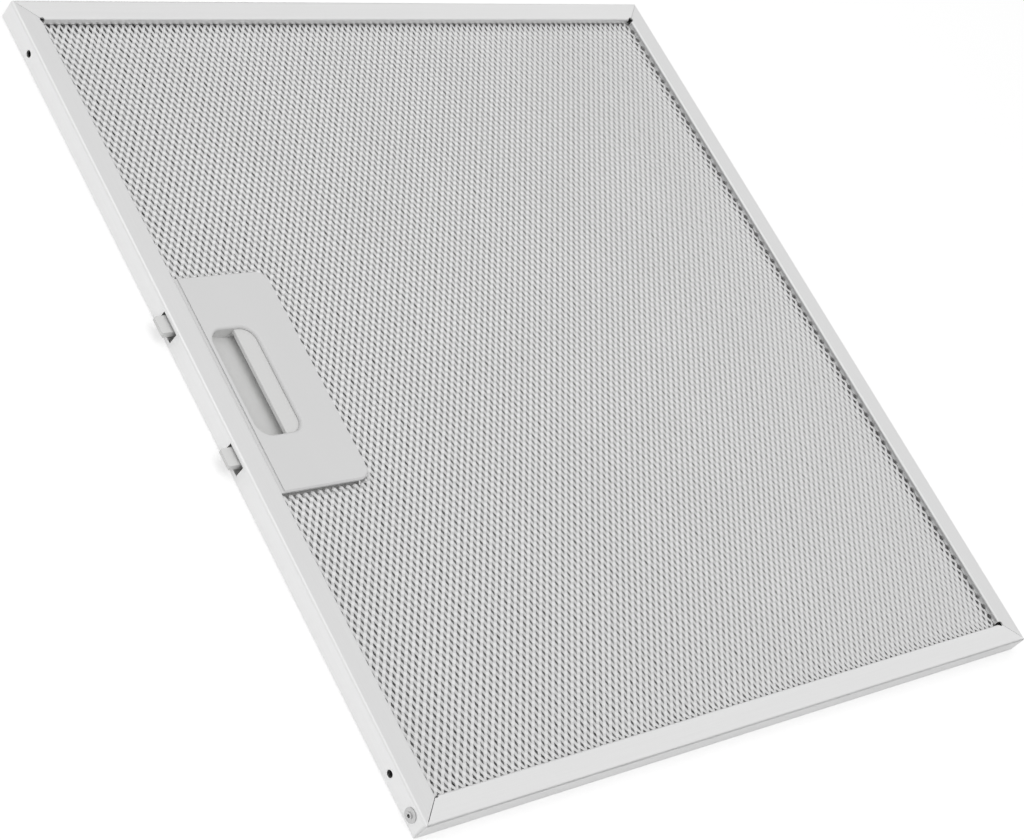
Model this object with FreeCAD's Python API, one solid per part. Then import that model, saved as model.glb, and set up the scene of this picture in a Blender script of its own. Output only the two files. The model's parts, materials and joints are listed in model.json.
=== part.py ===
"""Cooker hood grease filter: a folded frame, four expanded mesh layers and a sprung finger latch.

The filter lies on its back, with the finger pull facing up. X runs from the latch side to the far side,
Y runs along the latch side and Z points out of the front. Sizes are in millimetres.
"""

import FreeCAD, Part
import math
import os

from FreeCAD import Vector

# Panel
panel_width = 300.0
panel_length = 305.0
panel_thickness = 8.0

# Frame, one folded strip
sheet = 0.6
front_flange = 8.5
back_flange = 7.0
return_lip = 2.4
fold_radius = 1.0
corner_radius = 1.2
seam_gap = 0.25
bend_seam = 0.1
wall_seam = 0.06
corner_relief = 2.0
drain_hole = 2.5
drain_hole_inset = 19.5

# End tab of the strip and the blind rivet that closes the frame
tab_length = 14.0
tab_height = 5.0
rivet_inset = 6.0
rivet_shank = 2.4
rivet_head = 4.8
rivet_head_height = 0.8
rivet_collar = 2.4
rivet_collar_step = 0.35
rivet_rim = 0.25
rivet_bulb = 3.4
rivet_bulb_length = 1.4
rivet_bore = 1.2
rivet_bore_depth = 1.5

# Expanded mesh
mesh_inset = 4.0
mesh_layers = ("back_mesh", "lower_inner_mesh", "upper_inner_mesh", "front_mesh")
gap_pitch_across = 27.0
gap_pitch_along = 40.5
inner_pitch_factor = 2.0
ridge_width = 1.6
gap_throat = 0.6

# Handle cover
cover_reach = 37.0
cover_length = 80.0
cover_thickness = 1.2
cover_drop = 0.8
cover_corner = 4.7
near_corner = 1.0
cover_edge = 0.5
cover_rim = 1.3
pull_width = 17.3
pull_length = 39.6
pull_corner = 5.0
pull_edge_share = 0.9
pull_inset = 3.8
tuck_reach = 1.9
tuck_step = 0.5
peg = 3.0
peg_length = 3.2

# Latch housing, the tray behind the cover
wall = 1.2
floor_thickness = 1.2
floor_lift = 0.1
boss = 6.0
well_wall = 1.0
ramp_top_drop = 0.4
guide_rib = 1.0

# Sliding latch
tongue_reach = 3.8
tongue_width = 6.4
tongue_thickness = 2.6
tongue_bevel = 1.3
tongue_corner = 0.8
slot_width = 9.0
slot_height = 4.5
slot_shift = 0.5
grip_line = 10.7
grip_overhang = 3.5
grip_thickness = 1.4
grip_edge = 0.4
bar_width = 9.0

# Latch spring, a bowed leaf
leaf_span = 54.0
leaf_thickness = 0.4
leaf_height = 3.6
leaf_stop = 1.5

# Clearances
seat_gap = 0.05
contact_gap = 0.1
cover_gap = 0.2
fit_gap = 0.3
slide_gap = 0.4
pin_gap = 0.05

# Heights above the back face
pack_bottom = sheet + seat_gap
pack_top = panel_thickness - return_lip - seat_gap
layer_thickness = (pack_top - pack_bottom - seat_gap * (len(mesh_layers) - 1)) / len(mesh_layers)
cover_top = panel_thickness - cover_drop
cover_bottom = cover_top - cover_thickness
pull_edge = cover_thickness * pull_edge_share
housing_top = cover_bottom - contact_gap
floor_top = floor_lift + floor_thickness
latch_top = cover_bottom - cover_gap
latch_bottom = floor_top + fit_gap
arm_bottom = latch_top - tongue_thickness
arm_middle = latch_top - tongue_thickness / 2
leaf_bottom = (floor_top + cover_bottom - leaf_height) / 2

# Places across the panel, counted from its middle
wall_outside = -panel_width / 2
wall_inside = wall_outside + sheet
lip_line = wall_outside + front_flange
housing_near = wall_inside + slide_gap
cover_far = lip_line + cover_reach
housing_far = cover_far - cover_rim
pull_near = lip_line + pull_inset
pull_far = pull_near + pull_width
grip_near = pull_near + grip_line
bar_far = grip_near + bar_width
tongue_tip = wall_outside - tongue_reach
well_far = grip_near - contact_gap
guide_near = pull_near - well_wall
spring_seat = housing_far - wall

# Places along the panel
cover_half = cover_length / 2
housing_half = cover_half - cover_rim
pull_half = pull_length / 2
well_half = pull_half + contact_gap + well_wall
arm_inner = well_half + slide_gap
tongue_middle = arm_inner + tongue_width / 2
arm_outer = arm_inner + tongue_width
leaf_half = leaf_span / 2
leaf_stop_along = leaf_half + fit_gap
rivet_along = rivet_inset - panel_length / 2

UP = Vector(0, 0, 1)
ACROSS = Vector(1, 0, 0)
ALONG = Vector(0, 1, 0)
ORIGIN = Vector(0, 0, 0)
SIDES = (-1, 1)
MARGIN = 1.0


def rounded_face(corners):
    """Flat XY face from (x, y, radius) corners, each rounded by its own radius."""
    count = len(corners)
    ends = []
    for index, (x, y, radius) in enumerate(corners):
        here = Vector(x, y, 0)
        back = Vector(*corners[index - 1][:2], 0) - here
        ahead = Vector(*corners[(index + 1) % count][:2], 0) - here
        half = back.getAngle(ahead) / 2
        reach = radius / math.tan(half)
        first = here + back.normalize() * reach
        last = here + ahead.normalize() * reach
        middle = here + (back + ahead).normalize() * (radius / math.sin(half) - radius)
        ends.append((first, middle, last, radius))
    edges = []
    for index, (first, middle, last, radius) in enumerate(ends):
        previous = ends[index - 1][2]
        edges.append(Part.LineSegment(previous, first).toShape())
        if radius > 0:
            edges.append(Part.Arc(first, middle, last).toShape())
    return Part.Face(Part.Wire(edges))


def rectangle(near, far, half, near_radius, far_radius):
    """Rounded rectangle face, symmetric along Y, with its own radius at either end across X."""
    return rounded_face([
        (near, -half, near_radius),
        (far, -half, far_radius),
        (far, half, far_radius),
        (near, half, near_radius),
    ])


def plate(face, bottom, top):
    """Upright prism of an XY face between two heights."""
    solid = face.extrude(UP * (top - bottom))
    solid.translate(UP * bottom)
    return solid


def block(near, far, low, high, bottom, top):
    """Box between two values on each of X, Y and Z."""
    return Part.makeBox(far - near, high - low, top - bottom, Vector(near, low, bottom))


def rod(radius, near, far, along, height):
    """Cylinder lying along X."""
    return Part.makeCylinder(radius, far - near, Vector(near, along, height), ACROSS)


def top_edges(solid, height, inside):
    """Edges at one height whose middles satisfy a test."""
    found = []
    for edge in solid.Edges:
        flat = all(abs(vertex.Z - height) < seat_gap / 2 for vertex in edge.Vertexes)
        if flat and inside(edge.CenterOfMass):
            found.append(edge)
    return found


def frame_bar(run, span):
    """One side of the frame: the folded section, mitred at both ends, lying along Y at -span / 2."""
    section = rounded_face([
        (back_flange, 0, 0),
        (0, 0, fold_radius),
        (0, panel_thickness, fold_radius),
        (front_flange, panel_thickness, fold_radius),
        (front_flange, panel_thickness - return_lip, 0),
        (front_flange - sheet, panel_thickness - return_lip, 0),
        (front_flange - sheet, panel_thickness - sheet, fold_radius - sheet),
        (sheet, panel_thickness - sheet, fold_radius - sheet),
        (sheet, sheet, fold_radius - sheet),
        (back_flange, sheet, 0),
    ])
    section.rotate(ORIGIN, ACROSS, 90)
    bar = section.extrude(ALONG * run)
    reach = max(front_flange, back_flange) + MARGIN
    mitre = rounded_face([(0, 0, 0), (reach, reach, 0), (reach, run - reach, 0), (0, run, 0)])
    bar = bar.common(plate(mitre, 0, panel_thickness))
    bar.translate(Vector(-span / 2, -run / 2, 0))
    return bar


def mitre_seam(side_x, side_y, start, gap):
    """Slit along one corner's mitre, from a distance inside the outer corner."""
    reach = math.hypot(front_flange, front_flange) + MARGIN - start
    slit = Part.makeBox(reach, gap, panel_thickness, Vector(start, -gap / 2, 0))
    slit.rotate(ORIGIN, UP, math.degrees(math.atan2(-side_y, -side_x)))
    slit.translate(Vector(side_x * panel_width / 2, side_y * panel_length / 2, 0))
    return slit


def corner_cuts():
    """Mitre seams and inner relief holes; a hairline seam by the rivet also parts the wall."""
    cuts = [mitre_seam(-1, -1, -MARGIN, wall_seam)]
    for side_x in SIDES:
        for side_y in SIDES:
            joined = (side_x, side_y) == (-1, -1)
            cuts.append(mitre_seam(side_x, side_y, 2 * fold_radius, seam_gap if joined else bend_seam))
            inner = Vector(
                side_x * (panel_width / 2 - front_flange),
                side_y * (panel_length / 2 - front_flange),
                panel_thickness - return_lip - MARGIN,
            )
            cuts.append(Part.makeCylinder(corner_relief / 2, return_lip + 2 * MARGIN, inner))
    return cuts


def latch_wall_cuts():
    """Tongue slots, drain holes, rivet hole and the lip's gap for the handle cover."""
    near = wall_outside - MARGIN
    far = wall_inside + MARGIN
    middle = panel_thickness / 2
    gap_half = cover_half + fit_gap
    cuts = [
        block(
            lip_line - fold_radius, lip_line + MARGIN, -gap_half, gap_half,
            panel_thickness - return_lip - MARGIN, panel_thickness - sheet,
        ),
        rod(rivet_shank / 2 + pin_gap, near, far + sheet, rivet_along, middle),
    ]
    for side in SIDES:
        slot_middle = side * tongue_middle - slot_shift
        cuts.append(block(
            near, far, slot_middle - slot_width / 2, slot_middle + slot_width / 2,
            arm_middle - slot_height / 2, arm_middle + slot_height / 2,
        ))
        hole_along = side * (panel_length / 2 - drain_hole_inset)
        cuts.append(rod(drain_hole / 2, near, far, hole_along, middle))
    return cuts


def make_frame():
    """Folded strip with mitred flanges, closed by an end tab behind the latch wall."""
    bars = []
    for index in range(4):
        along = (panel_length, panel_width)[index % 2]
        across = (panel_width, panel_length)[index % 2]
        bar = frame_bar(along, across)
        bar.rotate(ORIGIN, UP, 90 * index)
        bars.append(bar)
    ring = bars[0].multiFuse(bars[1:]).removeSplitter()
    half = panel_length / 2
    outline = rectangle(-panel_width / 2, panel_width / 2, half, corner_radius, corner_radius)
    ring = ring.common(plate(outline, 0, panel_thickness))
    ring = ring.cut(corner_cuts())
    tab = block(
        wall_inside + seat_gap, wall_inside + seat_gap + sheet, sheet / 2 - half, tab_length - half,
        (panel_thickness - tab_height) / 2, (panel_thickness + tab_height) / 2,
    )
    return ring.fuse(tab).cut(latch_wall_cuts()).removeSplitter()


def make_rivet():
    """Blind rivet through the latch wall and the end tab, with a hollow collar on its head."""
    seat = sheet + seat_gap + sheet
    shank = rivet_shank / 2
    collar = rivet_collar / 2
    rim = rivet_head / 2
    grip_end = seat + pin_gap
    start = Vector(rivet_bore / 2, 0, -rivet_head_height)
    outline = Part.makePolygon([
        start,
        Vector(collar, 0, -rivet_head_height),
        Vector(collar, 0, rivet_collar_step - rivet_head_height),
        Vector(rim, 0, -rivet_rim),
        Vector(rim, 0, -pin_gap),
        Vector(shank, 0, -pin_gap),
        Vector(shank, 0, grip_end),
        Vector(rivet_bulb / 2, 0, grip_end),
        Vector(shank, 0, grip_end + rivet_bulb_length),
        Vector(0, 0, grip_end + rivet_bulb_length),
        Vector(0, 0, rivet_bore_depth - rivet_head_height),
        Vector(rivet_bore / 2, 0, rivet_bore_depth - rivet_head_height),
        start,
    ])
    rivet = Part.Face(outline).revolve(ORIGIN, UP, 360)
    rivet.rotate(ORIGIN, ALONG, 90)
    rivet.translate(Vector(wall_outside, rivet_along, panel_thickness / 2))
    return rivet


def gap_prism(centre_x, centre_y, across, along, shares, bottom):
    """Diamond gap that narrows through the sheet, so that the strands keep sloping flanks."""
    rims = []
    for height, share in zip((bottom, bottom + layer_thickness), shares):
        reach_x = across * share / 2
        reach_y = along * share / 2
        rims.append([
            Vector(centre_x - reach_x, centre_y, height),
            Vector(centre_x, centre_y - reach_y, height),
            Vector(centre_x + reach_x, centre_y, height),
            Vector(centre_x, centre_y + reach_y, height),
        ])
    low, high = rims
    outlines = [low[::-1], high]
    for index in range(len(low)):
        outlines.append([low[index - 1], low[index], high[index], high[index - 1]])
    faces = [Part.Face(Part.makePolygon(points + points[:1])) for points in outlines]
    return Part.makeSolid(Part.makeShell(faces))


def gap_centres(pitch_x, pitch_y, across, along):
    """Centres of the staggered diamonds that lie inside the frame's window and clear of the latch."""
    reach_x = panel_width / 2 - front_flange - across / 2
    reach_y = panel_length / 2 - front_flange - along / 2
    columns = int(reach_x / (pitch_x / 2))
    rows = int(reach_y / (pitch_y / 2))
    centres = []
    for column in range(-columns, columns + 1):
        for row in range(-rows, rows + 1):
            x = column * pitch_x / 2
            y = row * pitch_y / 2
            by_latch = x - across / 2 < cover_far and abs(y) - along / 2 < cover_half
            if (column + row) % 2 == 0 and not by_latch:
                centres.append((x, y))
    return centres


def notch_face(near):
    """Plan of the sheets' notch round the housing, bevelled to clear its rounded corners."""
    far = housing_far + slide_gap
    half = housing_half + slide_gap
    bevel = (cover_corner - cover_rim + slide_gap) * (2 - math.sqrt(2))
    return rounded_face([
        (near, -half, 0),
        (far - bevel, -half, 0),
        (far, bevel - half, 0),
        (far, half - bevel, 0),
        (far - bevel, half, 0),
        (near, half, 0),
    ])


def make_mesh(level, factor):
    """Expanded sheet with staggered diamond gaps, ridged outwards and notched round the housing."""
    bottom = pack_bottom + level * (layer_thickness + seat_gap)
    top = bottom + layer_thickness
    half_x = panel_width / 2 - mesh_inset
    half_y = panel_length / 2 - mesh_inset
    body = block(-half_x, half_x, -half_y, half_y, bottom, top)
    notch = plate(notch_face(-half_x - MARGIN), bottom - MARGIN, top + MARGIN)
    faces_front = 2 * level >= len(mesh_layers)
    shares = (gap_throat, 1.0) if faces_front else (1.0, gap_throat)
    pitch_x = gap_pitch_across * factor
    pitch_y = gap_pitch_along * factor
    across = pitch_x - ridge_width
    along = pitch_y - ridge_width * pitch_y / pitch_x
    gaps = []
    for x, y in gap_centres(pitch_x, pitch_y, across, along):
        gaps.append(gap_prism(x, y, across, along, shares, bottom))
    return body.cut([notch] + gaps)


def peg_places():
    """Plan places of the pegs: two bosses grow from the finger well, two from the spring stops."""
    merge = boss / 2 - wall / 2
    places = []
    for side in SIDES:
        places.append((guide_near - merge, side * (well_half - boss / 2)))
        places.append((spring_seat - merge, side * (leaf_stop_along + guide_rib + merge)))
    return places


def pull_face(grow):
    """Plan of the finger pull, grown outwards all round."""
    radius = pull_corner + grow
    return rectangle(pull_near - grow, pull_far + grow, pull_half + grow, radius, radius)


def make_cover():
    """Handle cover: a plate stepped to tuck under the flange, with the finger pull and four pegs."""
    outline = rectangle(housing_near, cover_far, cover_half, near_corner, cover_corner)
    cover = plate(outline, cover_bottom, cover_top)
    cover = cover.cut(plate(pull_face(0), cover_bottom - MARGIN, cover_top + MARGIN))

    def by_pull(middle):
        across = pull_near - MARGIN < middle.x < pull_far + MARGIN
        return across and abs(middle.y) < pull_half + MARGIN

    cover = cover.makeFillet(pull_edge, top_edges(cover, cover_top, by_pull))
    cover = cover.makeChamfer(cover_edge, top_edges(cover, cover_top, lambda middle: not by_pull(middle)))
    cover = cover.cut(block(
        wall_outside, lip_line + tuck_reach, -cover_half, cover_half, cover_top - tuck_step, cover_top,
    ))
    pegs = []
    for x, y in peg_places():
        foot = Vector(x, y, cover_bottom - peg_length)
        pegs.append(Part.makeCylinder(peg / 2, peg_length + contact_gap, foot))
    return cover.multiFuse(pegs)


def ramp_face(drop, close_height):
    """Upright face between the well's curved ramp, lowered by a distance, and a level line."""
    high = housing_top - ramp_top_drop
    run = well_far - pull_near
    fall = high - floor_top
    radius = (run ** 2 + fall ** 2) / (2 * fall)
    turn = math.asin(run / radius) / 2
    start = Vector(pull_near, 0, high - drop)
    middle = Vector(well_far - radius * math.sin(turn), 0, floor_top - drop + radius * (1 - math.cos(turn)))
    end = Vector(well_far, 0, floor_top - drop)
    level_end = Vector(well_far, 0, close_height)
    level_start = Vector(pull_near, 0, close_height)
    edges = [Part.Arc(start, middle, end).toShape()]
    edges += Part.makePolygon([end, level_end, level_start, start]).Edges
    return Part.Face(Part.Wire(edges))


def make_housing():
    """Latch housing: a tray with the scooped finger well, latch guides, peg bosses and spring stops."""
    outline = rectangle(housing_near, housing_far, housing_half, near_corner, cover_corner - cover_rim)
    tray = plate(outline, floor_lift, housing_top)
    hollow = rectangle(
        housing_near - MARGIN, spring_seat, housing_half - wall, 0, cover_corner - cover_rim - wall)
    tray = tray.cut(plate(hollow, floor_top, housing_top + MARGIN))
    rim = rectangle(housing_near, cover_far, cover_half, near_corner, cover_corner)
    additions = [
        plate(rim, floor_lift, pack_bottom - seat_gap - contact_gap),
        block(guide_near, well_far, -well_half, well_half, floor_lift, housing_top),
    ]
    rib_near = arm_outer + slide_gap
    for side in SIDES:
        low, high = sorted((side * rib_near, side * (rib_near + guide_rib)))
        additions.append(block(guide_near, bar_far, low, high, floor_lift, housing_top))
        low, high = sorted((side * leaf_stop_along, side * (leaf_stop_along + guide_rib)))
        stop_far = housing_far - wall / 2
        additions.append(block(spring_seat - leaf_stop, stop_far, low, high, floor_lift, housing_top))
    for x, y in peg_places():
        additions.append(Part.makeCylinder(boss / 2, housing_top - floor_lift, Vector(x, y, floor_lift)))
    tray = tray.multiFuse(additions)

    well = ramp_face(0, cover_top).extrude(ALONG * (2 * well_half))
    well.translate(ALONG * -well_half)
    well = well.common(plate(pull_face(contact_gap), floor_lift, cover_top))
    back_hollow = ramp_face(well_wall, 0).extrude(ALONG * pull_length)
    back_hollow.translate(ALONG * -pull_half)
    cuts = [well, back_hollow]
    cuts.append(block(
        wall_outside, wall_outside + back_flange + slide_gap, -panel_length, panel_length,
        0, sheet + contact_gap,
    ))
    for x, y in peg_places():
        depth = peg_length + contact_gap
        cuts.append(Part.makeCylinder(peg / 2 + pin_gap, depth, Vector(x, y, cover_bottom - depth)))
    return tray.cut(cuts).removeSplitter()


def make_tongue(side):
    """One latch tongue with its arm; the tip is bevelled on the side that enters the hood first."""
    low, high = sorted((side * arm_inner, side * arm_outer))
    outline = rounded_face([
        (tongue_tip, low, tongue_corner),
        (grip_near + MARGIN, low, 0),
        (grip_near + MARGIN, high, 0),
        (tongue_tip, high, tongue_corner),
    ])
    tongue = plate(outline, arm_bottom, latch_top)
    bevel = rounded_face([
        (tongue_tip, arm_bottom, 0),
        (tongue_tip + tongue_bevel, arm_bottom, 0),
        (tongue_tip, arm_bottom + tongue_bevel, 0),
    ])
    bevel.rotate(ORIGIN, ACROSS, 90)
    bevel.translate(ALONG * low)
    return tongue.cut(bevel.extrude(ALONG * tongue_width))


def make_latch():
    """Sliding latch: a finger bar that stops against the well, with a grip, two arms and tongues."""
    bar = block(grip_near, bar_far, -arm_outer, arm_outer, latch_bottom, latch_top)
    bar = bar.cut(block(
        grip_near - MARGIN, grip_near + grip_overhang, -pull_half, pull_half,
        latch_bottom - MARGIN, latch_top - grip_thickness,
    ))
    latch = bar.multiFuse([make_tongue(side) for side in SIDES]).removeSplitter()

    def by_grip(middle):
        return abs(middle.x - grip_near) < seat_gap and abs(middle.y) < arm_inner

    return latch.makeFillet(grip_edge, top_edges(latch, latch_top, by_grip))


def leaf_arc(apex, end):
    """Arc of one face of the leaf spring: its apex is by the latch bar, its ends by the housing wall."""
    points = [Vector(end, -leaf_half, 0), Vector(apex, 0, 0), Vector(end, leaf_half, 0)]
    return Part.Arc(*points).toShape()


def make_spring():
    """Bowed leaf spring that pushes the latch bar away from the housing's end wall."""
    apex = bar_far + contact_gap
    end = spring_seat - contact_gap
    inner = leaf_arc(apex + leaf_thickness, end)
    outer = leaf_arc(apex, end - leaf_thickness)
    ends = []
    for first, last in zip(inner.Vertexes, outer.Vertexes):
        ends.append(Part.LineSegment(first.Point, last.Point).toShape())
    leaf = Part.Face(Part.Wire([inner, ends[1], outer, ends[0]]))
    return plate(leaf, leaf_bottom, leaf_bottom + leaf_height)


def write(name, shape):
    """Writes one piece, with the origin under the middle of the whole part, tongues included."""
    placed = shape.copy()
    placed.translate(ACROSS * (tongue_reach / 2))
    placed.exportStep(os.path.join("parts", name + ".step"))


os.makedirs("parts", exist_ok=True)
write("frame", make_frame())
write("corner_rivet", make_rivet())
for level, name in enumerate(mesh_layers):
    outer = level in (0, len(mesh_layers) - 1)
    write(name, make_mesh(level, 1.0 if outer else inner_pitch_factor))
write("handle_cover", make_cover())
write("latch_housing", make_housing())
write("latch_slide", make_latch())
write("latch_spring", make_spring())
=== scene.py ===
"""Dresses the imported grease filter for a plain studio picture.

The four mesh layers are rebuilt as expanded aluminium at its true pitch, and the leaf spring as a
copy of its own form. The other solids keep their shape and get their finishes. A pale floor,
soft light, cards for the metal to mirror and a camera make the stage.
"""

import json
import math
from typing import NamedTuple

import bpy
import numpy as np
from bpy.props import FloatProperty, FloatVectorProperty, IntProperty, PointerProperty
from mathutils import Matrix, Quaternion, Vector


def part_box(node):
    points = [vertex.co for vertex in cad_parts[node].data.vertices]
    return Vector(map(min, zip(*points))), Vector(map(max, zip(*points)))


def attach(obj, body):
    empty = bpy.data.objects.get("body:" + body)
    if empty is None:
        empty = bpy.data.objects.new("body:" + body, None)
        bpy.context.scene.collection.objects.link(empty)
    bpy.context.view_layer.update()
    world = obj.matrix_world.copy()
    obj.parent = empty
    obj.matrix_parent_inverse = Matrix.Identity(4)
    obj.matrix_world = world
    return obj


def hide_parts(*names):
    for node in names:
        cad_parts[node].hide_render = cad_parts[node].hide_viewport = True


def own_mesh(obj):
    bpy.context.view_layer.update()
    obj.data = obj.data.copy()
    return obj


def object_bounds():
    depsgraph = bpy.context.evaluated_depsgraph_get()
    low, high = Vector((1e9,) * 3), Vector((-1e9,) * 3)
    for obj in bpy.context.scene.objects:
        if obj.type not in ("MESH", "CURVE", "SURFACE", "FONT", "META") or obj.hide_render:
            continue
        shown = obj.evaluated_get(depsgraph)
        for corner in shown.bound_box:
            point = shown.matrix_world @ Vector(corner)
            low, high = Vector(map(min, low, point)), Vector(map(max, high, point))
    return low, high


bl_info = {
    "name": "Cooker hood grease filter",
    "version": (1, 0, 0),
    "blender": (4, 5, 0),
    "location": "3D View > Sidebar > Grease filter",
    "description": "Expanded mesh, finishes and a studio for the packed grease filter",
    "category": "Object",
}

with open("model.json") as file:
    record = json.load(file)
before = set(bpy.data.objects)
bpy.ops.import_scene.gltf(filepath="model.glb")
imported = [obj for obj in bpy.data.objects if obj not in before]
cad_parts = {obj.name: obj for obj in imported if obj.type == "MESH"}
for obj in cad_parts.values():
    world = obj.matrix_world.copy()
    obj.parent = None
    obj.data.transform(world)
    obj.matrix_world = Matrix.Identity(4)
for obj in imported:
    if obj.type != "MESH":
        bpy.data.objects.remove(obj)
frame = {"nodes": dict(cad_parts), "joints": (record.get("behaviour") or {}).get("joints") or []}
CAD_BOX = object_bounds()

FRAME_LOW, FRAME_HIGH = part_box("frame")
FRAME_MIDDLE = (FRAME_LOW + FRAME_HIGH) / 2
FRAME_HALF = (FRAME_HIGH - FRAME_LOW) / 2

# The frame's lip presses the mesh flat along the edge of the window.
WINDOW_INSET = 0.0085
WINDOW_HALF = FRAME_HALF.xy - Vector((WINDOW_INSET, WINDOW_INSET))
PRESS_WIDTH = 0.003

# The sheets are cut out under the cover plate, which overlaps the cut by a little.
COVER_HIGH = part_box("handle_cover")[1]
COVER_OVERLAP = 0.0009
COVER_CORNER = 0.0047

# Bonds that lie this share of a half pitch inside the cut are drawn out to its edge.
DRAWN_SHARE = 0.6

# The furthest that a bond strays, in times the unevenness.
STRAY_LIMIT = 2

# Corners of a bond, seen from the front, and the point under its middle.
BOND_POINTS = 5
LEFT, BOTTOM, RIGHT, TOP, UNDER = range(BOND_POINTS)

# The shortest length that a direction is divided by.
TINY = 1e-9

# The floor lies just under the part, so that the two don't share a plane.
FLOOR_GAP = 0.0001

# The upright card along the near side runs on to this many times the cards' distance.
NEAR_CARD_STRETCH = 2

# Width of the camera's sensor in millimetres.
SENSOR_WIDTH = 36.0

# Sockets of a Mix node that mixes colours. Its other forms have sockets of the same names.
MIX_FACTOR, MIX_FIRST, MIX_SECOND = 0, 6, 7
MIX_RESULT = 2


class Grain(NamedTuple):
    """One noise of a finish, and how much it changes the tone, the roughness and the relief.

    The waves are per metre along X, Y and Z, and the depth of the relief is in metres.
    """

    waves: tuple
    detail: float = 3.0
    fineness: float = 0.5
    tone: float = 0.0
    roughness: float = 0.0
    depth: float = 0.0
    relief: float = 0.0


# The level that a noise swings about, and the tone of a colour as it is written.
NOISE_MIDDLE = 0.5
PLAIN_TONE = 1.0

# Values of the Metallic socket.
METAL = 1.0
PLASTIC = 0.0

# Stretched aluminium: strand by strand, over the sheet, and along the draw.
MESH_GRAINS = (
    Grain(waves=(420.0, 420.0, 420.0), detail=2.0, tone=0.08, roughness=0.10),
    Grain(waves=(24.0, 24.0, 24.0), tone=0.06),
    Grain(waves=(5000.0, 900.0, 3000.0), detail=2.0, roughness=0.06, depth=0.00001, relief=0.4),
)

# Brushed aluminium. The strips along the latch side and across from it get painted shade: a little
# darker tone.
BRUSHED_TONE = 0.985
LATCH_WAY_PAINTED_SHADE = 0.065
BRUSHED_LONG = Grain(
    waves=(3200.0, 36.0, 3200.0),
    fineness=0.6,
    tone=0.07,
    roughness=0.14,
    depth=0.00001,
    relief=0.5,
)
BRUSHED_WIDE = BRUSHED_LONG._replace(waves=(36.0, 3200.0, 3200.0))
SMUDGES = Grain(waves=(30.0, 30.0, 30.0), tone=0.03, roughness=0.10)

# Satin aluminium of the set rivet.
RIVET_ROUGHNESS = 0.40
RIVET_GRAINS = (
    Grain(waves=(1500.0, 1500.0, 1500.0), tone=0.16, roughness=0.2, depth=0.00002, relief=0.4),
)

# Bright rolled steel, with marks along the leaf.
SPRING_ROUGHNESS = 0.30
SPRING_GRAINS = (
    Grain(waves=(2500.0, 40.0, 2500.0), tone=0.2, roughness=0.16, depth=0.00001, relief=0.4),
)

# Moulded plastic: faint flow marks, and a fine matt grain that is coarser on the latch.
FLOW_MARKS = Grain(waves=(60.0, 20.0, 60.0), tone=0.04, roughness=0.08)
PLATE_ROUGHNESS = 0.52
PLATE_GRAIN_SIZE = 0.0004
PLATE_GRAIN = Grain(
    waves=(1 / PLATE_GRAIN_SIZE,) * 3,
    detail=2.0,
    fineness=0.6,
    tone=0.02,
    roughness=0.12,
    depth=0.00003,
    relief=0.35,
)
LATCH_ROUGHNESS = 0.45
LATCH_GRAIN_SIZE = 0.0006
LATCH_GRAIN = PLATE_GRAIN._replace(waves=(1 / LATCH_GRAIN_SIZE,) * 3)


class Value:
    """One output socket. Arithmetic on it adds the Math nodes."""

    def __init__(self, graph, socket):
        self.graph = graph
        self.socket = socket

    def out(self, name):
        """Another output of the same node."""
        return Value(self.graph, self.socket.node.outputs[name])

    def math(self, operation, *terms):
        """A Math node on these terms."""
        return self.graph.node("ShaderNodeMath", {"operation": operation}, dict(enumerate(terms)))

    def __add__(self, other):
        return self.math("ADD", self, other)

    def __radd__(self, other):
        return self.math("ADD", other, self)

    def __sub__(self, other):
        return self.math("SUBTRACT", self, other)

    def __rsub__(self, other):
        return self.math("SUBTRACT", other, self)

    def __mul__(self, other):
        return self.math("MULTIPLY", self, other)

    def __rmul__(self, other):
        return self.math("MULTIPLY", other, self)

    def __gt__(self, other):
        return self.math("GREATER_THAN", self, other)

    def __or__(self, other):
        return self.math("MAXIMUM", self, other)

    def __ror__(self, other):
        return self.math("MAXIMUM", other, self)

    def __abs__(self):
        return self.math("ABSOLUTE", self)


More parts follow.
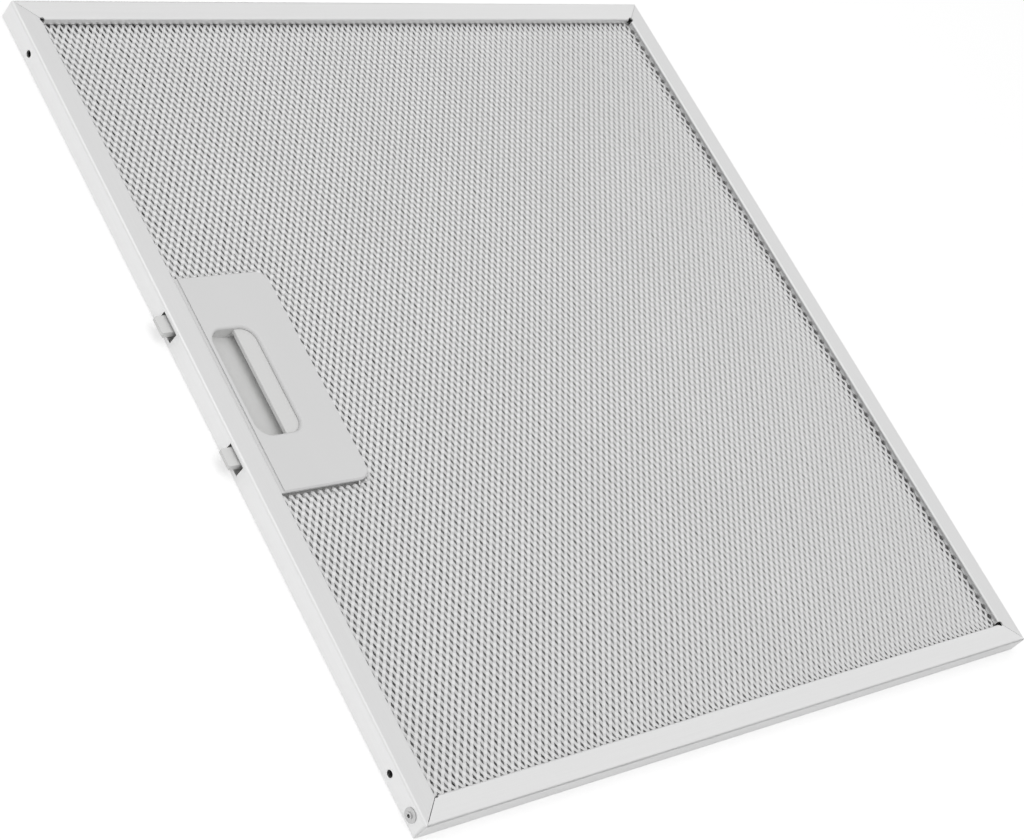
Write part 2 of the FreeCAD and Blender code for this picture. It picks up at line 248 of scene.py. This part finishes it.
class Graph:
    """The node tree of one finish, or of the world."""

    def __init__(self, tree):
        self.tree = tree
        tree.nodes.clear()

    def node(self, kind, settings=None, sockets=None, output=0):
        """Adds a node: its settings first, then the values or links of its sockets."""
        made = self.tree.nodes.new(kind)
        for name, value in (settings or {}).items():
            setattr(made, name, value)
        for key, value in (sockets or {}).items():
            if isinstance(value, Value):
                self.tree.links.new(value.socket, made.inputs[key])
            else:
                made.inputs[key].default_value = value
        return Value(self, made.outputs[output]) if made.outputs else None

    def place(self):
        """Where a point of the surface lies, in the part's own frame."""
        return self.node("ShaderNodeTexCoord", output="Object")

    def noise(self, place, grain):
        """A grain's noise, with its own waves along each axis."""
        stretched = self.node(
            "ShaderNodeVectorMath", {"operation": "MULTIPLY"}, {0: place, 1: grain.waves}
        )
        sockets = {"Vector": stretched, "Scale": 1.0}
        sockets.update({"Detail": grain.detail, "Roughness": grain.fineness})
        return self.node("ShaderNodeTexNoise", None, sockets)

    def shade(self, colour, level):
        """A colour made lighter or darker by a value about 1."""
        grey = self.node("ShaderNodeCombineColor", None, {0: level, 1: level, 2: level})
        return self.node(
            "ShaderNodeMix",
            {"data_type": "RGBA", "blend_type": "MULTIPLY"},
            {MIX_FACTOR: 1.0, MIX_FIRST: (*colour, 1.0), MIX_SECOND: grey},
            MIX_RESULT,
        )

    def bump(self, height, distance, strength):
        """Fine relief from a noise."""
        return self.node(
            "ShaderNodeBump", None, {"Height": height, "Distance": distance, "Strength": strength}
        )

    def surface(self, colour, tone, roughness, metallic, grains):
        """Closes the tree with the surface shader, which each grain changes by its noise."""
        sockets = {"Metallic": metallic}
        for grain, noise in grains:
            swing = noise - NOISE_MIDDLE
            if grain.tone:
                tone = tone + grain.tone * swing
            if grain.roughness:
                roughness = roughness + grain.roughness * swing
            if grain.depth:
                sockets["Normal"] = self.bump(noise, grain.depth, grain.relief)
        sockets["Base Color"] = self.shade(colour, tone)
        sockets["Roughness"] = roughness
        shader = self.node("ShaderNodeBsdfPrincipled", None, sockets)
        self.node("ShaderNodeOutputMaterial", None, {"Surface": shader})


def new_finish(name):
    """A new material and its graph."""
    material = bpy.data.materials.new(name)
    material.use_nodes = True
    return material, Graph(material.node_tree)


def give_finish(node, material):
    """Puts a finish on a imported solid, whose mesh stays as it is."""
    slot = frame["nodes"][node].material_slots[0]
    slot.link = "OBJECT"
    slot.material = material


class MeshSettings(bpy.types.PropertyGroup):
    """Sizes and finish of the expanded metal."""

    pitch_across: FloatProperty(
        name="Pitch across",
        description="From diamond to diamond, square to the latch side",
        default=0.00285,
        min=0.001,
        precision=5,
        unit="LENGTH",
    )
    pitch_along: FloatProperty(
        name="Pitch along",
        description="From diamond to diamond, along the latch side",
        default=0.00429,
        min=0.001,
        precision=5,
        unit="LENGTH",
    )
    inner_factor: FloatProperty(
        name="Inner pitch",
        description="How much coarser the two inner layers are",
        default=1.5,
        min=1.0,
    )
    opening: FloatProperty(
        name="Opening",
        description="Share of the pitch that a diamond leaves open",
        default=0.62,
        min=0.2,
        max=0.9,
        subtype="FACTOR",
    )
    inner_opening: FloatProperty(
        name="Inner opening",
        description="Share of the pitch that a diamond of the inner layers leaves open",
        default=0.46,
        min=0.2,
        max=0.9,
        subtype="FACTOR",
    )
    lean: FloatProperty(
        name="Lean",
        description="How much higher a bond's far corner stands than its near one",
        default=0.0008,
        min=0.0,
        precision=5,
        unit="LENGTH",
    )
    unevenness: FloatProperty(
        name="Unevenness",
        description="How far a bond strays from its place",
        default=0.00003,
        min=0.0,
        precision=5,
        unit="LENGTH",
    )
    seed: IntProperty(name="Seed", description="Seed of the unevenness", default=7)
    colour: FloatVectorProperty(
        name="Colour",
        description="Bare aluminium of the outer layers",
        default=(0.84, 0.84, 0.84),
        subtype="COLOR",
    )
    # Painted shade: the inner layers get a darker copy of the aluminium, which darkens the holes.
    inner_painted_shade_colour: FloatVectorProperty(
        name="Inner colour",
        description="Duller aluminium of the inner layers",
        default=(0.50, 0.50, 0.50),
        subtype="COLOR",
    )
    roughness: FloatProperty(
        name="Roughness",
        description="Blur of the mesh's reflections",
        default=0.5,
        min=0.0,
        max=1.0,
        subtype="FACTOR",
    )


class FinishSettings(bpy.types.PropertyGroup):
    """Colours of the frame, the plastics and the small metal parts."""

    frame_colour: FloatVectorProperty(
        name="Frame",
        description="Brushed aluminium of the folded frame",
        default=(0.97, 0.97, 0.97),
        subtype="COLOR",
    )
    frame_roughness: FloatProperty(
        name="Frame roughness",
        description="Blur of the frame's reflections",
        default=0.48,
        min=0.0,
        max=1.0,
        subtype="FACTOR",
    )
    rivet_colour: FloatVectorProperty(
        name="Rivet",
        description="Satin aluminium of the corner rivet",
        default=(0.64, 0.64, 0.64),
        subtype="COLOR",
    )
    plate_colour: FloatVectorProperty(
        name="Plate",
        description="Grey plastic of the cover",
        default=(0.66, 0.66, 0.66),
        subtype="COLOR",
    )
    housing_colour: FloatVectorProperty(
        name="Housing",
        description="Slightly warmer grey plastic of the latch housing",
        default=(0.66, 0.66, 0.655),
        subtype="COLOR",
    )
    latch_colour: FloatVectorProperty(
        name="Latch",
        description="Pale plastic of the latch slide",
        default=(0.66, 0.66, 0.655),
        subtype="COLOR",
    )
    spring_colour: FloatVectorProperty(
        name="Spring",
        description="Bright steel of the leaf spring",
        default=(0.60, 0.60, 0.60),
        subtype="COLOR",
    )


class StageSettings(bpy.types.PropertyGroup):
    """Floor, light and camera."""

    floor_colour: FloatVectorProperty(
        name="Floor",
        description="Pale floor as the part's own light sees it",
        default=(0.95, 0.95, 0.95),
        subtype="COLOR",
    )
    floor_size: FloatProperty(
        name="Floor size", description="Side of the floor", default=8.0, unit="LENGTH"
    )
    floor_shadow: FloatProperty(
        name="Floor shadow",
        description="Share of the seen floor that takes shadow",
        default=0.6,
        min=0.0,
        max=1.0,
        subtype="FACTOR",
    )
    floor_white: FloatProperty(
        name="Floor white", description="Level of the seen floor out of the shadow", default=1.06
    )
    sky_low: FloatProperty(
        name="Sky low", description="Level of the soft light near the floor", default=0.44, min=0.0
    )
    sky_high: FloatProperty(
        name="Sky high", description="Level of the soft light overhead", default=1.0, min=0.0
    )
    background: FloatProperty(
        name="Background", description="Level of the seen and mirrored background", default=1.0
    )
    lamp_power: FloatProperty(
        name="Lamp power", description="Power of the large soft lamp", default=12.0, unit="POWER"
    )
    lamp_size: FloatProperty(
        name="Lamp size", description="Side of the large soft lamp", default=1.9, unit="LENGTH"
    )
    lamp_place: FloatVectorProperty(
        name="Lamp place",
        description="Middle of the large soft lamp",
        default=(-0.55, -0.25, 1.4),
        subtype="XYZ",
    )
    glint_power: FloatProperty(
        name="Glint power",
        description="Power of the lamp that the gloss shows",
        default=1.6,
        unit="POWER",
    )
    glint_size: FloatProperty(
        name="Glint size",
        description="Side of the lamp that the gloss shows",
        default=0.9,
        unit="LENGTH",
    )
    glint_place: FloatVectorProperty(
        name="Glint place",
        description="Middle of the lamp that the gloss shows",
        default=(-0.75, 0.6, 1.25),
        subtype="XYZ",
    )
    card_distance: FloatProperty(
        name="Card distance",
        description="From the part's middle to each low grey card beside it",
        default=0.9,
        unit="LENGTH",
    )
    near_card_height: FloatProperty(
        name="Near card height",
        description="Height of the grey card along the near side",
        default=0.6,
        unit="LENGTH",
    )
    far_card_height: FloatProperty(
        name="Far card height",
        description="Height of the grey card along the far side",
        default=0.34,
        unit="LENGTH",
    )
    floor_card_width: FloatProperty(
        name="Floor card width",
        description="Width of the cards on the floor along the near side and the latch side",
        default=0.12,
        unit="LENGTH",
    )
    floor_card_colour: FloatVectorProperty(
        name="Floor card",
        description="Pale grey card on the floor that the near side mirrors",
        default=(0.74, 0.74, 0.74),
        subtype="COLOR",
    )
    latch_card_colour: FloatVectorProperty(
        name="Latch card",
        description="Paler card on the floor that the latch side mirrors",
        default=(0.93, 0.93, 0.93),
        subtype="COLOR",
    )
    card_colour: FloatVectorProperty(
        name="Card",
        description="Grey cards that give the metal something darker to mirror",
        default=(0.25, 0.25, 0.25),
        subtype="COLOR",
    )
    camera_place: FloatVectorProperty(
        name="Camera place",
        description="Where the camera stands",
        default=(-0.591005, -0.294275, 0.522285),
        subtype="XYZ",
    )
    camera_aim: FloatVectorProperty(
        name="Camera aim",
        description="Point at the middle of the picture",
        default=(-0.035073, -0.028594, 0.008),
        subtype="XYZ",
    )
    camera_roll: FloatProperty(
        name="Camera roll",
        description="Turn of the camera about its own line of sight",
        default=math.radians(44.11),
        subtype="ANGLE",
    )
    camera_lens: FloatProperty(
        name="Lens",
        description="Focal length on a 36 mm wide sensor",
        default=84.874,
        unit="CAMERA",
    )


def clear_of_cut(places, arm):
    """How far each place lies outside the rounded cut for the latch, and the way out of it."""
    radius = COVER_CORNER - COVER_OVERLAP
    reach = np.array([COVER_HIGH.x - COVER_OVERLAP, COVER_HIGH.y - COVER_OVERLAP]) + arm - radius
    beyond = np.stack([places[..., 0], np.abs(places[..., 1])], axis=-1) - reach
    corner = np.maximum(beyond, 0.0)
    distance = np.linalg.norm(corner, axis=-1)
    straight = np.where(beyond[..., :1] > beyond[..., 1:], (1.0, 0.0), (0.0, 1.0))
    way = np.where(
        (distance > 0.0)[..., None], corner / np.maximum(distance, TINY)[..., None], straight
    )
    way[..., 1] *= np.sign(places[..., 1])
    return distance + np.minimum(beyond.max(axis=-1), 0.0) - radius, way


def bond_numbers(low, high, pitch, arm):
    """Numbers of a centred lattice's bonds, -1 where there is none, and the bonds' places."""
    half = np.array(pitch) / 2
    room = np.array(high.xy) - np.array(low.xy) - 2 * half
    counts = np.floor(room / half).astype(int) + 1
    column, row = np.meshgrid(np.arange(counts[0]), np.arange(counts[1]), indexing="ij")
    start = (np.array(low.xy) + np.array(high.xy) - (counts - 1) * half) / 2
    places = start + np.stack([column, row], axis=-1) * half
    outside, way = clear_of_cut(places, arm)
    kept = ((column + row) % 2 == 0) & (outside > -DRAWN_SHARE * half.min())
    places -= np.minimum(outside, 0.0)[..., None] * way
    numbers = np.full(kept.shape, -1)
    numbers[kept] = np.arange(kept.sum())
    return numbers, places[kept]


def neighbours(numbers, row_step):
    """Pairs of bonds joined by a strand to the next column, one row up or down."""
    here, there = numbers[:-1], numbers[1:]
    if row_step > 0:
        here, there = here[:, :-1], there[:, 1:]
    else:
        here, there = here[:, 1:], there[:, :-1]
    joined = (here >= 0) & (there >= 0)
    return here[joined], there[joined]


def half_leans(places, lean):
    """Half of each bond's lean, which fades out where the frame's lip presses on the mesh."""
    from_middle = np.abs(places - np.array(FRAME_MIDDLE.xy))
    inside = (np.array(WINDOW_HALF) - from_middle).min(axis=-1)
    return lean / 2 * np.clip(inside / PRESS_WIDTH, 0.0, 1.0)


def bond_points(places, low, high, arm, settings, random):
    """Four leaning corners and a point underneath for every bond."""
    furthest = STRAY_LIMIT * settings.unevenness
    strays = random.normal(0.0, settings.unevenness, (len(places), 3)).clip(-furthest, furthest)
    leans = half_leans(places, settings.lean)
    middle = np.column_stack([places, high.z - leans]) + strays
    middle[:, 2] -= furthest
    points = np.repeat(middle[:, None, :], BOND_POINTS, axis=1)
    points[:, LEFT, 0] -= arm[0]
    points[:, LEFT, 2] -= leans
    points[:, BOTTOM, 1] -= arm[1]
    points[:, RIGHT, 0] += arm[0]
    points[:, RIGHT, 2] += leans
    points[:, TOP, 1] += arm[1]
    points[:, UNDER, 2] = low.z
    return points.reshape(-1, 3)


def strand_faces(numbers):
    """Top faces and side walls of the bonds and of the strands between them."""
    bonds = BOND_POINTS * np.arange(numbers.max() + 1)
    tops = [np.column_stack([bonds + LEFT, bonds + BOTTOM, bonds + RIGHT, bonds + TOP])]
    walls = []
    ways = (
        (1, (RIGHT, TOP), (BOTTOM, LEFT)),
        (-1, (BOTTOM, RIGHT), (LEFT, TOP)),
    )
    for row_step, leaves, meets in ways:
        first, second = (BOND_POINTS * bond for bond in neighbours(numbers, row_step))
        near, far = first + leaves[0], first + leaves[1]
        near_end, far_end = second + meets[0], second + meets[1]
        tops.append(np.column_stack([near, near_end, far_end, far]))
        walls.append(np.column_stack([near_end, near, first + UNDER, second + UNDER]))
        walls.append(np.column_stack([far, far_end, second + UNDER, first + UNDER]))
        for edge, joined in ((leaves, first), ((meets[1], meets[0]), second)):
            loose = np.setdiff1d(bonds, joined)
            walls.append(np.column_stack([loose + edge[1], loose + edge[0], loose + UNDER]))
    return tops, walls


def expanded_sheet(name, node, pitch, opening, settings, random, face_down):
    """One layer of expanded metal in the box of the node that it stands for."""
    low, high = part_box(node)
    arm = (1 - opening) / 2 * np.array(pitch)
    numbers, places = bond_numbers(low, high, pitch, arm)
    points = bond_points(places, low, high, arm, settings, random)
    tops, walls = strand_faces(numbers)
    faces = [face for group in tops + walls for face in group.tolist()]
    top_count = sum(len(group) for group in tops)
    if face_down:
        points[:, 2] = low.z + high.z - points[:, 2]
        faces = [face[::-1] for face in faces]
    data = bpy.data.meshes.new(name)
    data.from_pydata(points.tolist(), [], faces)
    lay_flat(data, low, high, top_count)
    sheet = bpy.data.objects.new(name, data)
    bpy.context.scene.collection.objects.link(sheet)
    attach(sheet, "filter")
    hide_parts(node)
    return sheet


def lay_flat(data, low, high, top_count):
    """Flat layout of a sheet: the tops fill its lower half and the walls its upper half."""
    corners = np.empty(len(data.loops), dtype=int)
    data.loops.foreach_get("vertex_index", corners)
    points = np.empty(3 * len(data.vertices))
    data.vertices.foreach_get("co", points)
    flat = points.reshape(-1, 3)[corners, :2]
    flat = (flat - np.array(low.xy)) / (np.array(high.xy) - np.array(low.xy))
    flat[:, 1] /= 2
    first_wall = data.polygons[top_count].loop_start
    flat[first_wall:, 1] += 0.5
    layout = data.uv_layers.new(name="OFBake")
    layout.data.foreach_set("uv", flat.ravel())


def leaf_spring(name, node, joint):
    """A copy of the node's leaf in its own form; the joint's travel is looked up but changes
    nothing.
    """
    low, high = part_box(node)
    travel = next(row["range_m"][1] for row in frame["joints"] if row["name"] == joint)
    spring = bpy.data.objects.new(name, frame["nodes"][node].data.copy())
    spring.data.name = name
    bpy.context.scene.collection.objects.link(spring)
    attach(spring, "filter")
    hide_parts(node)
    1 - travel / (high.x - low.x)
    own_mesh(spring)
    return spring


def grained_finish(name, colour, roughness, metallic, grains):
    """A finish whose tone, roughness and relief follow its grains."""
    material, graph = new_finish(name)
    place = graph.place()
    noises = [(grain, graph.noise(place, grain)) for grain in grains]
    graph.surface(colour, PLAIN_TONE, roughness, metallic, noises)
    return material


def brushed_finish(name, colour, roughness):
    """Rolled aluminium, brushed along each side of the frame up to its mitres."""
    material, graph = new_finish(name)
    place = graph.place()
    split = graph.node("ShaderNodeSeparateXYZ", None, {0: place})
    across = abs(split.out("X") - FRAME_MIDDLE.x) - FRAME_HALF.x
    along = abs(split.out("Y") - FRAME_MIDDLE.y) - FRAME_HALF.y
    latch_way = across > along
    brushed_long = graph.noise(place, BRUSHED_LONG)
    brushed_wide = graph.noise(place, BRUSHED_WIDE)
    brushed = brushed_long * latch_way + brushed_wide * (1 - latch_way)
    smudges = graph.noise(place, SMUDGES)
    # Painted shade: the strips along the latch side and across from it are given a darker tone.
    tone = BRUSHED_TONE - LATCH_WAY_PAINTED_SHADE * latch_way
    noises = ((BRUSHED_LONG, brushed), (SMUDGES, smudges))
    graph.surface(colour, tone, roughness, METAL, noises)
    return material


class GREASEFILTER_OT_finish_frame(bpy.types.Operator):
    """Give the folded frame its brushed aluminium and the corner rivet its satin one"""

    bl_idname = "grease_filter.finish_frame"
    bl_label = "Finish frame and rivet"

    def execute(self, context):
        finish = context.scene.filter_finish
        brushed = brushed_finish("brushed_aluminium", finish.frame_colour, finish.frame_roughness)
        give_finish("frame", brushed)
        satin = grained_finish(
            "rivet_aluminium", finish.rivet_colour, RIVET_ROUGHNESS, METAL, RIVET_GRAINS
        )
        give_finish("corner_rivet", satin)
        return {"FINISHED"}


class GREASEFILTER_OT_expand_mesh(bpy.types.Operator):
    """Rebuild the four mesh layers as expanded aluminium at its true pitch"""

    bl_idname = "grease_filter.expand_mesh"
    bl_label = "Expand mesh layers"

    def execute(self, context):
        settings = context.scene.filter_mesh
        random = np.random.default_rng(settings.seed)
        fine = (settings.pitch_across, settings.pitch_along)
        coarse = tuple(settings.inner_factor * pitch for pitch in fine)
        roughness = settings.roughness
        bright = grained_finish(
            "bright_expanded_aluminium", settings.colour, roughness, METAL, MESH_GRAINS
        )
        # The inner layers' finish is the same aluminium painted darker, as painted shade in the
        # holes.
        shaded_inner = grained_finish(
            "expanded_aluminium_painted_shade", settings.inner_painted_shade_colour, roughness, METAL, MESH_GRAINS
        )
        outer = (fine, settings.opening, bright)
        inner = (coarse, settings.inner_opening, shaded_inner)
        layers = (
            ("expanded_front", "front_mesh", outer, False),
            ("expanded_upper_inner", "upper_inner_mesh", inner, False),
            ("expanded_lower_inner", "lower_inner_mesh", inner, True),
            ("expanded_back", "back_mesh", outer, True),
        )
        for name, node, (pitch, opening, finish), face_down in layers:
            sheet = expanded_sheet(name, node, pitch, opening, settings, random, face_down)
            sheet.data.materials.append(finish)
        return {"FINISHED"}


class GREASEFILTER_OT_finish_plate(bpy.types.Operator):
    """Give the cover plate and the latch housing their matt grey plastic"""

    bl_idname = "grease_filter.finish_plate"
    bl_label = "Finish cover and housing"

    def execute(self, context):
        finish = context.scene.filter_finish
        grains = (PLATE_GRAIN, FLOW_MARKS)
        plastics = (
            ("handle_cover", "matt_grey_plastic", finish.plate_colour),
            ("latch_housing", "housing_plastic", finish.housing_colour),
        )
        for node, name, colour in plastics:
            give_finish(node, grained_finish(name, colour, PLATE_ROUGHNESS, PLASTIC, grains))
        return {"FINISHED"}


class GREASEFILTER_OT_finish_latch(bpy.types.Operator):
    """Give the latch slide its pale plastic"""

    bl_idname = "grease_filter.finish_latch"
    bl_label = "Finish latch"

    def execute(self, context):
        colour = context.scene.filter_finish.latch_colour
        grains = (LATCH_GRAIN, FLOW_MARKS)
        pale = grained_finish("pale_latch_plastic", colour, LATCH_ROUGHNESS, PLASTIC, grains)
        give_finish("latch_slide", pale)
        return {"FINISHED"}


class GREASEFILTER_OT_seat_spring(bpy.types.Operator):
    """Seat a copy of the leaf spring, in bright steel"""

    bl_idname = "grease_filter.seat_spring"
    bl_label = "Seat spring"

    def execute(self, context):
        colour = context.scene.filter_finish.spring_colour
        steel = grained_finish("spring_steel", colour, SPRING_ROUGHNESS, METAL, SPRING_GRAINS)
        spring = leaf_spring("leaf_spring", "latch_spring", "latch_travel")
        spring.data.materials.clear()
        spring.data.materials.append(steel)
        return {"FINISHED"}


class GREASEFILTER_OT_set_stage(bpy.types.Operator):
    """Lay the floor, light the world, hang the lamps, stand the cards and set up the camera"""

    bl_idname = "grease_filter.set_stage"
    bl_label = "Set stage"

    def execute(self, context):
        stage = context.scene.filter_stage
        lay_floor(stage)
        light_world(context.scene, stage)
        hang_lamps(stage)
        stand_cards(stage)
        set_camera(context.scene, stage)
        context.scene.view_settings.view_transform = "Standard"
        return {"FINISHED"}


def seen_rays(graph):
    """1 where the background is looked at or mirrored, 0 where it only lights the part."""
    path = graph.node("ShaderNodeLightPath", output="Is Camera Ray")
    return path | path.out("Is Glossy Ray") | path.out("Is Transmission Ray")


def rectangle(across, along):
    """Corners of a flat rectangle between two places along X and two along Y."""
    (left, right), (near, far) = across, along
    return [(left, near, 0.0), (right, near, 0.0), (right, far, 0.0), (left, far, 0.0)]


def four_cornered(name, corners, material):
    """A plain sheet between four corners."""
    data = bpy.data.meshes.new(name)
    data.from_pydata(corners, [], [(0, 1, 2, 3)])
    data.materials.append(material)
    sheet = bpy.data.objects.new(name, data)
    bpy.context.scene.collection.objects.link(sheet)
    return sheet


def lay_floor(stage):
    """A pale floor that looks white, keeps the shadow and can be looked through from below."""
    material, graph = new_finish("pale_floor")
    plain = graph.node("ShaderNodeBsdfDiffuse", None, {"Color": (*stage.floor_colour, 1.0)})
    shadowed = graph.node(
        "ShaderNodeBsdfDiffuse", None, {"Color": (stage.floor_shadow,) * 3 + (1.0,)}
    )
    glow = graph.node(
        "ShaderNodeEmission", None, {"Strength": stage.floor_white - stage.floor_shadow}
    )
    white = graph.node("ShaderNodeAddShader", None, {0: shadowed, 1: glow})
    upper = graph.node("ShaderNodeMixShader", None, {0: seen_rays(graph), 1: plain, 2: white})
    below = graph.node("ShaderNodeNewGeometry", output="Backfacing")
    clear = graph.node("ShaderNodeBsdfTransparent")
    both = graph.node("ShaderNodeMixShader", None, {0: below, 1: upper, 2: clear})
    graph.node("ShaderNodeOutputMaterial", None, {"Surface": both})
    sides = (-stage.floor_size / 2, stage.floor_size / 2)
    floor = four_cornered("floor", rectangle(sides, sides), material)
    floor.location.z = CAD_BOX[0].z - FLOOR_GAP


def light_world(scene, stage):
    """Soft light from all round, brighter from above, on a white background."""
    world = bpy.data.worlds.new("studio")
    world.use_nodes = True
    graph = Graph(world.node_tree)
    way = graph.node("ShaderNodeTexCoord", output="Generated")
    split = graph.node("ShaderNodeSeparateXYZ", None, {0: way})
    height = split.out("Z") | 0.0
    soft = stage.sky_low + (stage.sky_high - stage.sky_low) * height
    seen = seen_rays(graph)
    strength = soft * (1 - seen) + stage.background * seen
    background = graph.node("ShaderNodeBackground", None, {"Strength": strength})
    graph.node("ShaderNodeOutputWorld", None, {"Surface": background})
    world.cycles.sampling_method = "NONE"
    scene.world = world


def hang_lamp(name, power, size, place):
    """A square lamp that faces the part."""
    data = bpy.data.lights.new(name, "AREA")
    data.energy = power
    data.size = size
    lamp = bpy.data.objects.new(name, data)
    turn = (FRAME_MIDDLE - Vector(place)).to_track_quat("-Z", "Y")
    lamp.matrix_world = Matrix.LocRotScale(Vector(place), turn, None)
    bpy.context.scene.collection.objects.link(lamp)
    return lamp


def hang_lamps(stage):
    """A large soft lamp that only lights, and a faint one that only the gloss shows."""
    soft = hang_lamp("soft_lamp", stage.lamp_power, stage.lamp_size, stage.lamp_place)
    soft.visible_glossy = False
    glint = hang_lamp("glint_lamp", stage.glint_power, stage.glint_size, stage.glint_place)
    glint.visible_diffuse = False


def add_card(name, colour, corners):
    """A matt card that only the metal mirrors."""
    material, graph = new_finish(name)
    matt = graph.node("ShaderNodeBsdfDiffuse", None, {"Color": (*colour, 1.0)})
    graph.node("ShaderNodeOutputMaterial", None, {"Surface": matt})
    card = four_cornered(name, corners, material)
    card.visible_camera = False
    card.visible_diffuse = False
    card.visible_shadow = False


def stand_cards(stage):
    """A grey card upright on either side of the part, and paler ones on the floor by two sides."""
    reach = stage.card_distance
    upright = (
        ("card_near", -reach, NEAR_CARD_STRETCH * reach, stage.near_card_height),
        ("card_far", reach, reach, stage.far_card_height),
    )
    for name, side, end, height in upright:
        feet = [(-reach, side, 0.0), (end, side, 0.0)]
        add_card(name, stage.card_colour, feet + [(end, side, height), (-reach, side, height)])
    left, near = FRAME_LOW.x, FRAME_LOW.y
    width = stage.floor_card_width
    flat = (
        ("card_floor_near", stage.floor_card_colour, (-reach, reach), (near - width, near)),
        ("card_floor_latch", stage.latch_card_colour, (left - width, left), (near, reach)),
    )
    for name, colour, across, along in flat:
        add_card(name, colour, rectangle(across, along))


def set_camera(scene, stage):
    """The picture's own point of view."""
    data = bpy.data.cameras.new("camera")
    data.sensor_width = SENSOR_WIDTH
    data.lens = stage.camera_lens
    camera = bpy.data.objects.new("camera", data)
    place = Vector(stage.camera_place)
    look = (Vector(stage.camera_aim) - place).to_track_quat("-Z", "Y")
    turn = look @ Quaternion((0.0, 0.0, 1.0), stage.camera_roll)
    camera.matrix_world = Matrix.LocRotScale(place, turn, None)
    scene.collection.objects.link(camera)
    scene.camera = camera


class GREASEFILTER_PT_tools(bpy.types.Panel):
    """Steps that dress the filter, in order"""

    bl_idname = "GREASEFILTER_PT_tools"
    bl_label = "Grease filter"
    bl_space_type = "VIEW_3D"
    bl_region_type = "UI"
    bl_category = "Grease filter"

    def draw(self, context):
        for operator in OPERATORS:
            self.layout.operator(operator.bl_idname)
        for group, settings in SETTINGS.items():
            box = self.layout.box()
            owner = getattr(context.scene, group)
            for name in settings.__annotations__:
                box.prop(owner, name)


OPERATORS = (
    GREASEFILTER_OT_finish_frame,
    GREASEFILTER_OT_expand_mesh,
    GREASEFILTER_OT_finish_plate,
    GREASEFILTER_OT_finish_latch,
    GREASEFILTER_OT_seat_spring,
    GREASEFILTER_OT_set_stage,
)
SETTINGS = {
    "filter_mesh": MeshSettings,
    "filter_finish": FinishSettings,
    "filter_stage": StageSettings,
}
CLASSES = (*SETTINGS.values(), *OPERATORS, GREASEFILTER_PT_tools)


def register():
    for cls in CLASSES:
        bpy.utils.register_class(cls)
    for name, group in SETTINGS.items():
        setattr(bpy.types.Scene, name, PointerProperty(type=group))


def unregister():
    for name in SETTINGS:
        delattr(bpy.types.Scene, name)
    for cls in reversed(CLASSES):
        bpy.utils.unregister_class(cls)


def main():
    """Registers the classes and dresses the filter."""
    register()
    bpy.ops.grease_filter.finish_frame()
    bpy.ops.grease_filter.expand_mesh()
    bpy.ops.grease_filter.finish_plate()
    bpy.ops.grease_filter.finish_latch()
    bpy.ops.grease_filter.seat_spring()
    bpy.ops.grease_filter.set_stage()


if __name__ == "__main__":
    main()
